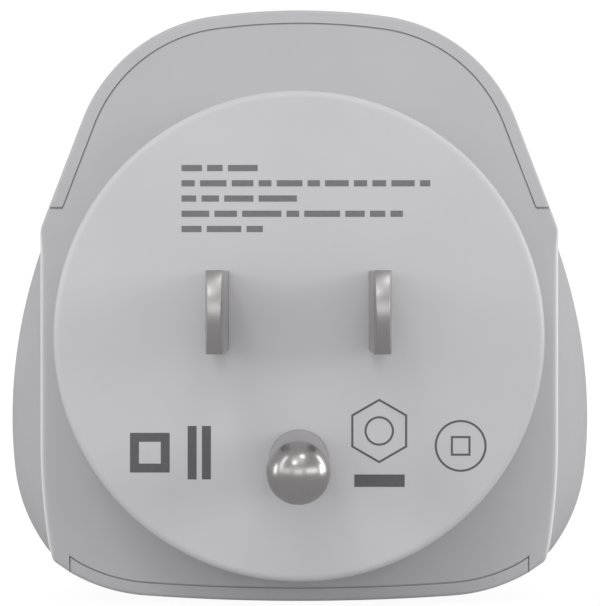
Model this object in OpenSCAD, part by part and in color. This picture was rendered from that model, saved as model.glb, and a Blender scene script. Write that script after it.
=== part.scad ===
// Grounded travel plug adaptor.
// The back has a round disc with two flat blades and a round earth pin.
// The front has a shuttered socket with three rectangular slots.
//
// Millimetres. +Z is up and +Y points out of the back, towards the wall.
// The origin is on the wall plane, midway between the two flat blades.
// Most sizes along Y are given as a depth: the distance in front of the wall
// plane, so a point at depth d has y = -d, and the pins have negative depths.

/* [Plug pins] */
// Distance between the two flat blades, centre to centre
blade_pitch = 12.7; // [12.6:0.05:12.8]
// Height of a flat blade
blade_h = 6.35; // [6.2:0.05:6.5]
// Thickness of a flat blade
blade_t = 1.42; // [1.4:0.02:1.6]
// How far a flat blade stands out of the disc
blade_reach = 17.6; // [15.9:0.1:18.2]
// Diameter of the round earth pin
earth_pin_d = 4.8; // [4.7:0.05:4.9]
// Height of the blades' centre line above the earth pin's axis
earth_pin_drop = 12; // [11.8:0.05:12]
// How far the earth pin stands out of the disc
earth_pin_reach = 20.5; // [19:0.1:21.5]

/* [Plug disc] */
// Diameter of the round disc on the back
disc_d = 39.6; // [39:0.1:40.4]
// How far the disc stands out of the back plate
disc_h = 8; // [7:0.5:8]
// Height of the disc's centre above the blades' centre line
disc_z = -2.1; // [-2.4:0.1:-1.8]
// Radius of the disc's rounded edge
disc_edge_r = 0.6; // [0.4:0.1:1.5]

/* [Body] */
// Depth of the body behind the back plate
body_depth = 34; // [34:0.5:36]
// Height of the top of the body
body_top = 24.8; // [24.5:0.1:25.5]
// Height of the bottom of the body
body_bottom = -24.2; // [-24.6:0.1:-24]
// Half the width of the back plate
side_x = 21.5; // [21.3:0.1:21.8]
// Lean of the sloped upper sides, in degrees from upright
side_slope = 21; // [20:0.5:22]
// Thickness of the moulded walls
wall = 2; // [1.8:0.1:2]
// Radius of the rounded edge round the socket face
face_edge_r = 3; // [2.5:0.5:3.5]
// Thickness of the lip that wraps round the rear cover
lip_t = 1.05; // [0.9:0.05:1.2]
// Width of the seam between the lip and the rear cover
seam = 0.13; // [0.1:0.01:0.2]

/* [Side bulges] */
// Half the width of the body over its side bulges
bulge_x = 25.8; // [25:0.1:26]
// Height of the widest point of a bulge
bulge_z = -9.9; // [-10.5:0.1:-9]
// Depth behind the back plate at which a bulge reaches its full width
bulge_run = 23; // [20:1:25]

/* [Socket] */
// Height of the two lower slots
slots_z = -9.5; // [-9.7:0.1:-9.3]
// Distance between the two lower slots, centre to centre
slot_pitch = 22.2; // [22.1:0.05:22.3]
// Height of the upper slot above the two lower slots
earth_slot_rise = 22.2; // [22.1:0.05:22.3]
// Width of a lower slot
slot_w = 7.1; // [6.8:0.1:7.3]
// Height of a lower slot
slot_h = 4.7; // [4.4:0.1:4.8]
// Width of the upper slot
earth_slot_w = 4.7; // [4.4:0.1:4.8]
// Height of the upper slot
earth_slot_h = 8.6; // [8.3:0.1:8.7]
// How far the safety shutter slides down
shutter_travel = 5.5; // [5.3:0.1:5.5]

/* [Colours] */
// Light grey plastic of the casing
casing_colour = "#c4c4c6";
// Nickel plate on the plug pins
nickel_colour = "#a9a6a3";
// Brass of the springy contacts
brass_colour = "#c9a44c";
// Dark inner plastic
inner_colour = "#4b4d52";
// White inner plastic
shutter_colour = "#e9e7e1";
// Steel screws and spring
steel_colour = "#8c9096";
// White ceramic of the fuse
ceramic_colour = "#f2efe8";

/* [Hidden] */
$fn = 64;
clearance = 0.05;
loose = 0.2;

// Depths of the main planes
back_plane = disc_h;
face_plane = disc_h + body_depth;
inner_face = face_plane - wall;
cover_t = 2.2;
cover_front = back_plane + cover_t;
cheek_end = back_plane + 6;

// Outline of the back plate
crown_r = 53;
shoulder_r = 13.6;
corner = [side_x, 6.6];
heel_top_z = -11;
heel_r = 55;
heel_bottom_z = -19.5;
heel_corner = [side_x - 1.05, -20.85];
toe_r = 14.5;
toe_x = 12.8;
base_r = 180;
lip_end_x = 18.97;
lip_end_z = 8.5;
slit = [0.1, 0.2];

// Side bulges
bulge_upper_r = 44;
bulge_middle_r = 40;
bulge_middle_turn = -6.6;
bulge_lower_r = 14;
bulge_foot_r = 4.3;
bulge_foot_z = body_bottom + 1.16;
bulge_start = back_plane + 4;
bulge_full = back_plane + bulge_run;
bulge_dies_out = 55;
middle = [0, -2];
wall_inset = wall + 0.15;

// Disc
disc_face_t = 2.5;
disc_rim_t = 2;
flange_back = 5;
flange_over = 1.2;
earth_groove_depth = 0.3;
earth_groove_len = 1;
earth_collar_d = 7;
earth_tail_d = 4;
earth_head_d = 5.6;
earth_head_t = 0.6;
disc_screw_ring_r = 15;
disc_screw_angles = [90, 215, 325];

// Sheet metal layer behind the rear cover
strap_t = 0.8;
sheet_t = 0.6;
tab_t = 1.5;
tab_back = cover_front + 0.6;
strap_back = tab_back + tab_t;
strap_front = strap_back + strap_t;
tab_reach = 6.6;
rivet_x = 10.5;
rivet_d = 2;
rivet_head_d = 3.6;
strap_x = [8.2, 13];
line_link_x = [9.4, 13];
neutral_link_x = [9, 13];
neutral_riser_z = -4.4;
earth_strap_half_w = 2.4;
earth_riser_z = 7.6;

// Contact carrier
carrier_front = strap_front + 5.2;
carrier_t = 2.5;
carrier_back = carrier_front - carrier_t;
web_back = carrier_front + clearance;
web_front = web_back + sheet_t;
cell_wall = 0.9;
power_cell_half = 3.9;
earth_cell_half = [3.6, 4.3];
cell_front = face_plane - 7.1;
earth_cell_front = face_plane - 8.8;

// Socket
slot_x = slot_pitch / 2;
earth_slot_z = slots_z + earth_slot_rise;
plug_pin_h = 4;
earth_pin_w = 4;
pin_play = 0.3;
jaw_w = 7;
earth_jaw_w = 7.6;
jaw_recess = 0.4;

// Shutter and its frame
shutter_front = inner_face - loose;
shutter_t = 2.2;
shutter_back = shutter_front - shutter_t;
frame_front = shutter_back - loose;
frame_t = 2.1;
frame_back = frame_front - frame_t;
bar_half_w = 15.2;
bar_top = slots_z + 2.9;
bar_bottom = slots_z - 3.1;
tongue_half_w = 3.1;
ramp_top = earth_slot_z + 1.3;
ramp_bottom = ramp_top - shutter_travel;
ramp_back = shutter_front - 6;
spring_d = 3;
spring_wire_d = 0.4;
spring_turns = 12;
spring_depth = inner_face - 2.1;
spring_top = -2;
spring_seat = bar_bottom - 7;

// Fuse, standing upright beside the line contact
fuse_x = 11.5;
fuse_depth = web_front + 2.65;
fuse_bottom = -4;
fuse_len = 20;
fuse_cap_d = 5.2;
fuse_cap_len = 4.6;
fuse_tube_d = 4.9;
clip_gap = 0.03;
clip_h = 3.6;
fuse_low_clip_z = fuse_bottom + 0.5;
fuse_high_clip_z = fuse_bottom + fuse_len - clip_h - 0.5;
fuse_link_x = [9.6, 13.4];
fuse_riser_z = fuse_bottom + fuse_len + 0.1;

// Screws
screw_d = 2.2;
screw_hole_d = screw_d + 2 * clearance;
screw_pass_d = 2.7;
screw_head_d = 4;
screw_head_t = 1.5;
boss_d = 4.4;
carrier_screws_at = [[17.6, -15], [9.5, 19]];
frame_screw_at = [12, 4];
frame_hole_end = face_plane - 0.9;

// ---------------------------------------------------------------- helpers

function unit(a) = [cos(a), sin(a)];

function arc(centre, r, from, to, steps) =
    [for (i = [0:steps]) centre + r * unit(from + (to - from) * i / steps)];

// Points along a straight line, without its two ends
function line(from, to, steps) =
    [for (i = [1:steps - 1]) from + (to - from) * i / steps];

// Extrudes a drawing in the X-Z plane from one depth to a larger one
module slab(from, to) {
    rotate([90, 0, 0])
        translate([0, 0, from])
            linear_extrude(to - from)
                children();
}

// Extrudes a drawing in the Y-Z plane from one X value to a larger one
module side_slab(from, to) {
    translate([from, 0, 0])
        rotate([90, 0, 90])
            linear_extrude(to - from)
                children();
}

// A block between two X values, two depths and two heights
module block(x, depth, z) {
    translate([x[0], -depth[1], z[0]])
        cube([x[1] - x[0], depth[1] - depth[0], z[1] - z[0]]);
}

// A cylinder along Y at a point [x, z], between two depths
module rod(at, depth, d) {
    slab(depth[0], depth[1])
        translate(at)
            circle(d = d);
}

// The child and its mirror image in the X = 0 plane
module both_sides() {
    children();
    mirror([1, 0, 0])
        children();
}

// ------------------------------------------------------- outline of the body

// The shoulder arc touches the crown arc from inside and the sloped side
crown_centre = [0, body_top - crown_r];
slope_up = [-sin(side_slope), cos(side_slope)];
slope_in = [-cos(side_slope), -sin(side_slope)];
shoulder_from = corner + shoulder_r * slope_in - crown_centre;
shoulder_b = shoulder_from * slope_up;
shoulder_c = shoulder_from * shoulder_from - pow(crown_r - shoulder_r, 2);
shoulder_run = -shoulder_b + sqrt(shoulder_b * shoulder_b - shoulder_c);
shoulder_off = shoulder_from + shoulder_run * slope_up;
shoulder_join = atan2(shoulder_off[1], shoulder_off[0]);

// The toe arc touches the base arc from inside and ends where the lip ends
base_centre = [0, body_bottom + base_r];
toe_join = -90 + asin(toe_x / base_r);
toe_centre = base_centre + (base_r - toe_r) * unit(toe_join);
toe_end = -acos((lip_end_x - toe_centre[0]) / toe_r);
heel_turn = asin((heel_top_z - heel_bottom_z) / heel_r);

half_outline = concat(
    arc(crown_centre, crown_r, 90, shoulder_join, 3),
    arc(crown_centre + shoulder_off, shoulder_r, shoulder_join, side_slope, 8),
    line(crown_centre + shoulder_off + shoulder_r * unit(side_slope), corner, 4),
    [corner],
    line(corner, [side_x, heel_top_z], 7),
    arc([side_x - heel_r, heel_top_z], heel_r, 0, -heel_turn, 3),
    [heel_corner],
    arc(toe_centre, toe_r, toe_end, toe_join, 4),
    arc(base_centre, base_r, toe_join, -90, 3)
);

// A half outline and its mirror image, without points that repeat
function whole(half) = concat(
    half,
    [for (i = [len(half) - 2:-1:1]) [-half[i][0], half[i][1]]]
);

module body_outline() {
    polygon(whole(half_outline));
}

// The parts of the back where the rear cover runs out to the sides, with a gap
// kept free beside the lip and above
module side_zone(gap) {
    far = 40;
    both_sides_2d()
        translate([lip_end_x + gap[0], -far])
            square([far, far + lip_end_z - gap[1]]);
}

module both_sides_2d() {
    children();
    mirror([1, 0])
        children();
}

// How far a circle reaches from the body's middle in a given direction
function circle_reach(centre, r, dir) =
    let (
        to = centre - middle,
        along = to * dir
    )
    along + sqrt(along * along - to * to + r * r);

function angle_of(at) = atan2((at - middle)[1], (at - middle)[0]);

// A bulge's edge is four arcs, each touching the next, and then the base arc
upper_centre = [bulge_x - bulge_upper_r, bulge_z];
middle_centre = [bulge_x - bulge_middle_r, bulge_z];
lower_centre = middle_centre + (bulge_middle_r - bulge_lower_r) * unit(bulge_middle_turn);
foot_turn = -asin((lower_centre[1] - bulge_foot_z - bulge_foot_r) / (bulge_lower_r - bulge_foot_r));
foot_centre = lower_centre + (bulge_lower_r - bulge_foot_r) * unit(foot_turn);
lower_from = angle_of(lower_centre + bulge_lower_r * unit(bulge_middle_turn));
foot_from = angle_of(foot_centre + bulge_foot_r * unit(foot_turn));
foot_to = angle_of([foot_centre[0], bulge_foot_z]);

function bulge_reach(dir) =
    let (a = atan2(dir[1], dir[0]))
    a > bulge_dies_out ? 0
    : a > angle_of([bulge_x, bulge_z]) ? circle_reach(upper_centre, bulge_upper_r, dir)
    : a > lower_from ? circle_reach(middle_centre, bulge_middle_r, dir)
    : a > foot_from ? circle_reach(lower_centre, bulge_lower_r, dir)
    : a > foot_to ? circle_reach(foot_centre, bulge_foot_r, dir)
    : circle_reach(base_centre, base_r, dir);

// One point of the body's outline, where swell runs from 0 at the back to 1
// at the full bulge, moved towards the middle by inset
function swollen(at, swell, inset) =
    let (
        out = norm(at - middle),
        dir = (at - middle) / out,
        full = max(out, bulge_reach(dir))
    )
    middle + dir * (out + swell * (full - out) - inset);

function swell_at(d) =
    let (run = (d - bulge_start) / (bulge_full - bulge_start))
    run <= 0 ? 0 : run >= 1 ? 1 : (1 - cos(180 * run)) / 2;

// The body between two depths, with a rounded edge at its front
module shell_body(from, to, inset, edge_r, flank_steps = 8, edge_steps = 4) {
    depths = concat(
        [from],
        [for (i = [0:flank_steps])
            let (d = bulge_start + (bulge_full - bulge_start) * i / flank_steps)
            if (d > from + 0.5) d],
        [for (i = [0:edge_steps]) to - edge_r * (1 - sin(90 * i / edge_steps))]
    );
    insets = [
        for (d = depths)
            let (past = max(0, (d - to + edge_r) / edge_r))
            inset + edge_r * (1 - sqrt(max(0, 1 - past * past)))
    ];
    count = len(whole(half_outline));
    points = [
        for (k = [0:len(depths) - 1])
            for (at = whole([for (p = half_outline) swollen(p, swell_at(depths[k]), insets[k])]))
                [at[0], -depths[k], at[1]]
    ];
    sides = [
        for (k = [0:len(depths) - 2]) for (i = [0:count - 1])
            let (
                next = (i + 1) % count,
                near = k * count,
                far = near + count
            )
            each [[near + i, near + next, far + next], [near + i, far + next, far + i]]
    ];
    back = [for (i = [count - 1:-1:0]) i];
    front = [for (i = [0:count - 1]) (len(depths) - 1) * count + i];
    polyhedron(points, concat(sides, [back, front]));
}

// ------------------------------------------------------------ casing shells

// A slot through the socket face, with its mouth opened out a little
module socket_slot(at, size) {
    mouth = 0.4;
    translate([at[0], 0, at[1]]) {
        slab(inner_face - 1, face_plane + 1)
            square(size, center = true);
        hull() {
            slab(face_plane - mouth, face_plane - mouth + 0.01)
                square(size, center = true);
            slab(face_plane + 0.1, face_plane + 0.2)
                offset(delta = mouth + 0.1)
                    square(size, center = true);
        }
    }
}

module socket_slots() {
    both_sides()
        socket_slot([slot_x, slots_z], [slot_w, slot_h]);
    socket_slot([0, earth_slot_z], [earth_slot_w, earth_slot_h]);
}

// A pillar with a blind screw hole that opens towards the back
module screw_pillar(at, from, hole_to) {
    difference() {
        rod(at, [from, inner_face + 0.5], boss_d);
        rod(at, [from - 1, hole_to], screw_hole_d);
    }
}

// Pockets in the walls, with room to spare round each clip of the rear cover
clip_half_w = 4;
clip_hook = 0.8;
clip_end = cover_front + 4.8;
clip_hook_len = 1.2;
top_clip_z = body_top - wall - 0.5;
bottom_clip_z = body_bottom + wall + 0.4;
side_clip_x = side_x - wall - 0.25;
side_clip_end = cheek_end + 5;

module clip_pockets() {
    half = clip_half_w + 0.3;
    depth = [clip_end - clip_hook_len - loose, clip_end + loose];
    block([-half, half], depth, [top_clip_z - 1, top_clip_z + clip_hook + loose]);
    block([-half, half], depth, [bottom_clip_z - clip_hook - loose, bottom_clip_z + 1]);
    both_sides()
        block(
            [side_clip_x - 1, side_clip_x + clip_hook + loose],
            [side_clip_end - clip_hook_len - loose, side_clip_end + loose],
            [-half, half]
        );
}

module front_housing() {
    color(casing_colour) {
        difference() {
            shell_body(back_plane, face_plane, 0, face_edge_r);
            // Hollow inside
            shell_body(back_plane - 1, inner_face, wall_inset, face_edge_r - wall);
            // Rebate inside the lip, where the rear cover's plate lies
            slab(back_plane - 1, cover_front + 0.1)
                offset(delta = -lip_t)
                    body_outline();
            // Openings for the rear cover's cheeks
            slab(back_plane - 1, cheek_end + seam)
                side_zone([0, 0]);
            clip_pockets();
            socket_slots();
            both_sides()
                rod(frame_screw_at, [inner_face - 1, frame_hole_end], screw_hole_d);
        }
        both_sides() {
            for (at = carrier_screws_at)
                screw_pillar(at, carrier_front, carrier_front + 8);
            difference() {
                rod(frame_screw_at, [frame_front, inner_face + 0.5], boss_d);
                rod(frame_screw_at, [frame_front - 1, frame_hole_end], screw_hole_d);
            }
        }
    }
}

module cover_plate_outline() {
    offset(delta = -lip_t - seam)
        body_outline();
    intersection() {
        body_outline();
        side_zone(slit);
    }
}

module cheek_outline() {
    intersection() {
        difference() {
            body_outline();
            offset(delta = -wall)
                body_outline();
        }
        side_zone(slit);
    }
}

// A springy finger with a hook on its outer side
module clip(from, to) {
    finger_t = 1.2;
    slope = 0.6;
    translate([-clip_half_w, 0, 0])
        rotate([0, 90, 0])
            linear_extrude(2 * clip_half_w)
                polygon([
                    [0, -from], [finger_t, -from], [finger_t, -to], [-clip_hook + slope, -to],
                    [-clip_hook, -to + slope], [-clip_hook, -to + clip_hook_len],
                    [0, -to + clip_hook_len]
                ]);
}

module rear_cover() {
    color(casing_colour) {
        difference() {
            union() {
                slab(back_plane, cover_front)
                    cover_plate_outline();
                slab(back_plane, cheek_end)
                    cheek_outline();
            }
            both_sides()
                block(
                    [blade_pitch / 2 - blade_t / 2 - loose, blade_pitch / 2 + blade_t / 2 + loose],
                    [back_plane - 1, cover_front + 1],
                    [-blade_h / 2 - loose, blade_h / 2 + loose]
                );
            rod([0, -earth_pin_drop], [back_plane - 1, cover_front + 1], earth_tail_d + 2 * loose);
            for (at = disc_screws_at())
                rod(at, [back_plane - 1, cover_front + 1], screw_pass_d);
        }
        translate([0, 0, top_clip_z])
            clip(cover_front - 0.1, clip_end);
        translate([0, 0, bottom_clip_z])
            mirror([0, 0, 1])
                clip(cover_front - 0.1, clip_end);
        both_sides()
            translate([side_clip_x, 0, 0])
                rotate([0, 90, 0])
                    clip(cover_front - 0.1, side_clip_end);
    }
}

function disc_screws_at() =
    [for (a = disc_screw_angles) [0, disc_z] + disc_screw_ring_r * unit(a)];

// Cross-section of the disc's shell, as [radius, depth]
disc_section = concat(
    arc([disc_d / 2 - disc_edge_r, disc_edge_r], disc_edge_r, -90, 0, 6),
    [
        [disc_d / 2, back_plane],
        [disc_d / 2 - disc_rim_t, back_plane],
        [disc_d / 2 - disc_rim_t, disc_face_t],
        [0, disc_face_t],
        [0, 0]
    ]
);

module plug_disc() {
    boss = 2;
    color(casing_colour)
        difference() {
            union() {
                rotate([90, 0, 0])
                    translate([0, disc_z, 0])
                        rotate_extrude($fn = 128)
                            polygon(disc_section);
                both_sides()
                    block(
                        [blade_pitch / 2 - blade_t / 2 - boss, blade_pitch / 2 + blade_t / 2 + boss],
                        [disc_face_t - 0.5, back_plane],
                        [-blade_h / 2 - flange_over - boss, blade_h / 2 + flange_over + boss]
                    );
                rod([0, -earth_pin_drop], [disc_face_t - 0.5, back_plane], earth_collar_d + 2 * boss);
                for (at = disc_screws_at())
                    rod(at, [disc_face_t - 0.5, back_plane], boss_d + 0.6);
            }
            both_sides() {
                block(
                    [blade_pitch / 2 - blade_t / 2 - clearance, blade_pitch / 2 + blade_t / 2 + clearance],
                    [-1, back_plane + 1],
                    [-blade_h / 2 - clearance, blade_h / 2 + clearance]
                );
                block(
                    [blade_pitch / 2 - blade_t / 2 - clearance, blade_pitch / 2 + blade_t / 2 + clearance],
                    [flange_back, back_plane + 1],
                    [-blade_h / 2 - flange_over - clearance, blade_h / 2 + flange_over + clearance]
                );
            }
            rod([0, -earth_pin_drop], [-1, back_plane + 1], earth_pin_d + 2 * clearance);
            rod([0, -earth_pin_drop], [flange_back, back_plane + 1], earth_collar_d + 2 * clearance);
            for (at = disc_screws_at())
                rod(at, [disc_face_t + 1, back_plane + 1], screw_hole_d);
        }
}

// ------------------------------------------------------------ pins and rivets

// A blade whose tip is thinned on both wide faces and rounded over its height
module blade() {
    tip_bevel = 0.28;
    tip_len = 2.5;
    tip_depth = 1.3;
    tip_r = (blade_h * blade_h / 4 + tip_depth * tip_depth) / (2 * tip_depth);
    tip_turn = asin(blade_h / 2 / tip_r);
    intersection() {
        // Seen from above: the tip's bevels, and the tab bent outwards inside
        translate([blade_pitch / 2, 0, -blade_h])
            linear_extrude(2 * blade_h)
                polygon([
                    [-blade_t / 2, -strap_back], [tab_reach, -strap_back],
                    [tab_reach, -tab_back], [blade_t / 2, -tab_back],
                    [blade_t / 2, blade_reach - tip_len],
                    [blade_t / 2 - tip_bevel, blade_reach],
                    [-blade_t / 2 + tip_bevel, blade_reach],
                    [-blade_t / 2, blade_reach - tip_len]
                ]);
        // Seen from the side: the flange inside the disc and the rounded tip
        side_slab(0, blade_pitch)
            polygon(concat(
                arc([blade_reach - tip_r, 0], tip_r, -tip_turn, tip_turn, 12),
                blade_flange(1),
                blade_flange(-1)
            ));
    }
}

// One edge of the blade inside the disc, as [y, z], from the disc face inwards
function blade_flange(side) =
    let (
        h = blade_h / 2,
        out = h + flange_over,
        front = -flange_back - clearance,
        back = -back_plane + clearance,
        half_tab = 2.5,
        edge = [
            [front, side * h], [front, side * out], [back, side * out], [back, side * h],
            [-tab_back, side * h], [-tab_back, side * half_tab], [-strap_back, side * half_tab]
        ]
    )
    side > 0 ? edge : [for (i = [len(edge) - 1:-1:0]) edge[i]];

module line_blade() {
    color(nickel_colour)
        difference() {
            blade();
            rod([rivet_x, 0], [tab_back - 1, strap_back + 1], rivet_d + 2 * clearance);
        }
}

module neutral_blade() {
    mirror([1, 0, 0])
        line_blade();
}

// Cross-section of the earth pin, as [radius, y], with a groove just inside the disc
earth_pin_section = concat(
    [
        [0, -strap_front - earth_head_t], [earth_head_d / 2, -strap_front - earth_head_t],
        [earth_head_d / 2, -strap_front - clearance],
        [earth_tail_d / 2, -strap_front - clearance], [earth_tail_d / 2, -back_plane + clearance],
        [earth_collar_d / 2, -back_plane + clearance], [earth_collar_d / 2, -flange_back - clearance],
        [earth_pin_d / 2, -flange_back - clearance], [earth_pin_d / 2, -earth_groove_len],
        [earth_pin_d / 2 - earth_groove_depth, -earth_groove_len],
        [earth_pin_d / 2 - earth_groove_depth, 0], [earth_pin_d / 2, 0]
    ],
    arc([0, earth_pin_reach - earth_pin_d / 2], earth_pin_d / 2, 0, 90, 12)
);

module earth_pin() {
    color(nickel_colour)
        translate([0, 0, -earth_pin_drop])
            rotate([-90, 0, 0])
                rotate_extrude()
                    polygon(earth_pin_section);
}

module blade_rivets() {
    head_t = 0.5;
    color(brass_colour)
        both_sides() {
            rod([rivet_x, 0], [tab_back, strap_front], rivet_d);
            rod([rivet_x, 0], [tab_back - head_t, tab_back - 0.01], rivet_head_d);
            rod([rivet_x, 0], [tab_back - head_t, tab_back], rivet_d);
            rod([rivet_x, 0], [strap_front + 0.01, strap_front + head_t], rivet_head_d);
            rod([rivet_x, 0], [strap_front, strap_front + head_t], rivet_d);
        }
}

// ------------------------------------------------------------ live parts

// Two springy leaves that grip a flat pin, joined by a web at the back.
// The leaves face each other across Z.
module jaws(gap, width, front) {
    pinch = 0.35;
    flare = 0.8;
    root = web_front + 2;
    pinch_at = front - 3;
    for (side = [-1, 1])
        side_slab(-width / 2, width / 2)
            polygon([
                [-web_back, side * gap / 2],
                [-root, side * gap / 2],
                [-pinch_at, side * (gap / 2 - pinch)],
                [-front, side * (gap / 2 + flare)],
                [-front, side * (gap / 2 + flare + sheet_t)],
                [-pinch_at, side * (gap / 2 - pinch + sheet_t)],
                [-root, side * (gap / 2 + sheet_t)],
                [-web_back, side * (gap / 2 + sheet_t)]
            ]);
    block(
        [-width / 2, width / 2],
        [web_back, web_front],
        [-gap / 2 - sheet_t, gap / 2 + sheet_t]
    );
}

// The grip for a flat pin that lies on its side
module power_jaws() {
    translate([slot_x, 0, slots_z])
        jaws(plug_pin_h + pin_play, jaw_w, cell_front - jaw_recess);
}

// Two leaves that hold one end cap of the fuse
module fuse_jaws(z) {
    inner = fuse_cap_d / 2 + clip_gap;
    for (side = [-1, 1])
        block(
            side > 0 ? [fuse_x + inner, fuse_x + inner + sheet_t] : [fuse_x - inner - sheet_t, fuse_x - inner],
            [web_back, fuse_depth + 2],
            [z, z + clip_h]
        );
    block([fuse_x - inner - sheet_t, fuse_x + inner + sheet_t], [web_back, web_front], [z, z + clip_h]);
}

module line_contact() {
    color(brass_colour) {
        power_jaws();
        block(line_link_x, [web_back, web_front], [slots_z, fuse_low_clip_z + 1]);
        fuse_jaws(fuse_low_clip_z);
    }
}

module neutral_contact() {
    riser = [neutral_riser_z, neutral_riser_z + sheet_t];
    strap_top = 2.5;
    color(brass_colour)
        mirror([1, 0, 0])
            difference() {
                union() {
                    power_jaws();
                    block(neutral_link_x, [web_back, web_front], [slots_z, riser[1]]);
                    block(neutral_link_x, [strap_back + clearance, web_front], riser);
                    block(strap_x, [strap_back + clearance, strap_front], [riser[0], strap_top]);
                }
                rod([rivet_x, 0], [strap_back - 1, strap_front + 1], rivet_d + 2 * clearance);
            }
}

module earth_contact() {
    strap_width = [-earth_strap_half_w, earth_strap_half_w];
    riser = [earth_riser_z, earth_riser_z + sheet_t];
    ring_d = 6.4;
    color(brass_colour)
        difference() {
            union() {
                translate([0, 0, earth_slot_z])
                    rotate([0, 90, 0])
                        jaws(earth_pin_w + pin_play, earth_jaw_w, earth_cell_front - jaw_recess);
                block(strap_width, [web_back, web_front], [riser[0], earth_slot_z]);
                block(strap_width, [strap_back + clearance, web_front], riser);
                block(strap_width, [strap_back + clearance, strap_front], [-earth_pin_drop, riser[1]]);
                rod([0, -earth_pin_drop], [strap_back + clearance, strap_front], ring_d);
            }
            rod([0, -earth_pin_drop], [strap_back - 1, strap_front + 1], earth_tail_d + 2 * clearance);
        }
}

// The strap from the line blade to the fuse's upper end
module fuse_clip() {
    riser = [fuse_riser_z, fuse_riser_z + sheet_t];
    strap_bottom = -2.5;
    color(brass_colour)
        difference() {
            union() {
                fuse_jaws(fuse_high_clip_z);
                block(fuse_link_x, [web_back, web_front], [fuse_high_clip_z, riser[1]]);
                block(fuse_link_x, [strap_back + clearance, web_front], riser);
                block(strap_x, [strap_back + clearance, strap_front], [strap_bottom, riser[1]]);
            }
            rod([rivet_x, 0], [strap_back - 1, strap_front + 1], rivet_d + 2 * clearance);
        }
}

module fuse_tube() {
    gap = 0.3;
    color(ceramic_colour)
        translate([fuse_x, -fuse_depth, fuse_bottom + gap])
            cylinder(d = fuse_tube_d - 2 * clearance, h = fuse_len - 2 * gap);
}

module fuse_caps() {
    end_t = 0.25;
    color(nickel_colour)
        for (end = [0, 1])
            translate([fuse_x, -fuse_depth, fuse_bottom + end * fuse_len])
                mirror([0, 0, end])
                    difference() {
                        cylinder(d = fuse_cap_d, h = fuse_cap_len);
                        translate([0, 0, end_t])
                            cylinder(d = fuse_tube_d, h = fuse_cap_len);
                    }
}

// ------------------------------------------------------------ inner mouldings

// A four-sided cell round one contact, standing on the carrier
module cell(x, z, front) {
    slab(carrier_front - 0.1, front)
        difference() {
            translate([x[0] - cell_wall, z[0] - cell_wall])
                square([x[1] - x[0] + 2 * cell_wall, z[1] - z[0] + 2 * cell_wall]);
            translate([x[0], z[0]])
                square([x[1] - x[0], z[1] - z[0]]);
        }
}

// A way through the carrier for a riser of sheet metal
module riser_way(x, riser_z) {
    block(
        [x[0] - loose, x[1] + loose],
        [carrier_back - 1, web_front + loose],
        [riser_z - loose, riser_z + sheet_t + loose]
    );
}

// A groove in the carrier's front for a link that runs from cell to cell
module link_way(x, top) {
    block([x[0] - loose, x[1] + loose], [carrier_front, web_front + loose], [slots_z, top]);
}

module contact_carrier() {
    clip_room = clip_half_w + 0.6;
    clip_room_from = side_clip_x - 1.6;
    fuse_wall_t = 0.8;
    fuse_wall_gap = 3.4;
    fuse_wall_z = [2, 11];
    rib = [strap_front + clearance, carrier_back + 0.1];
    color(inner_colour)
        difference() {
            union() {
                slab(carrier_back, carrier_front)
                    difference() {
                        offset(delta = -wall - 0.3)
                            body_outline();
                        both_sides_2d()
                            translate([clip_room_from, -clip_room])
                                square([side_x, 2 * clip_room]);
                    }
                both_sides()
                    cell(
                        [slot_x - power_cell_half, slot_x + power_cell_half],
                        [slots_z - power_cell_half, slots_z + power_cell_half],
                        cell_front
                    );
                cell(
                    [-earth_cell_half[0], earth_cell_half[0]],
                    [earth_slot_z - earth_cell_half[1], earth_slot_z + earth_cell_half[1]],
                    earth_cell_front
                );
                // Low walls beside the fuse
                for (x = [fuse_x - fuse_wall_gap - fuse_wall_t, fuse_x + fuse_wall_gap])
                    block([x, x + fuse_wall_t], [carrier_front - 0.1, fuse_depth], fuse_wall_z);
                // Ribs that back up the straps
                block([9, 12], rib, [5, 8]);
                block([-2, 2], rib, [-6, -3]);
            }
            link_way(line_link_x, fuse_low_clip_z);
            mirror([1, 0, 0]) {
                link_way(neutral_link_x, neutral_riser_z + sheet_t + loose);
                riser_way(neutral_link_x, neutral_riser_z);
            }
            riser_way([-earth_strap_half_w, earth_strap_half_w], earth_riser_z);
            riser_way(fuse_link_x, fuse_riser_z);
            both_sides()
                for (at = carrier_screws_at) {
                    rod(at, [carrier_back - 1, carrier_front + 1], screw_pass_d);
                    // Room for the casing's pillar beside a cell
                    rod(at, [carrier_front, face_plane], boss_d + 2 * loose);
                }
        }
}

module shutter() {
    pocket_half_w = spring_d / 2 + 0.25;
    color(shutter_colour)
        difference() {
            union() {
                block([-bar_half_w, bar_half_w], [shutter_back, shutter_front], [bar_bottom, bar_top]);
                // Tongue with the ramp that the plug's earth pin pushes down
                side_slab(-tongue_half_w, tongue_half_w)
                    polygon([
                        [-shutter_front, bar_bottom], [-shutter_front, ramp_bottom],
                        [-ramp_back - 0.8, ramp_top], [-ramp_back, ramp_top],
                        [-ramp_back, 3], [-shutter_back, 3], [-shutter_back, bar_bottom]
                    ]);
            }
            block(
                [-pocket_half_w, pocket_half_w],
                [shutter_back - 1, shutter_front + 1],
                [bar_bottom - 1, spring_top]
            );
        }
}

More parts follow.
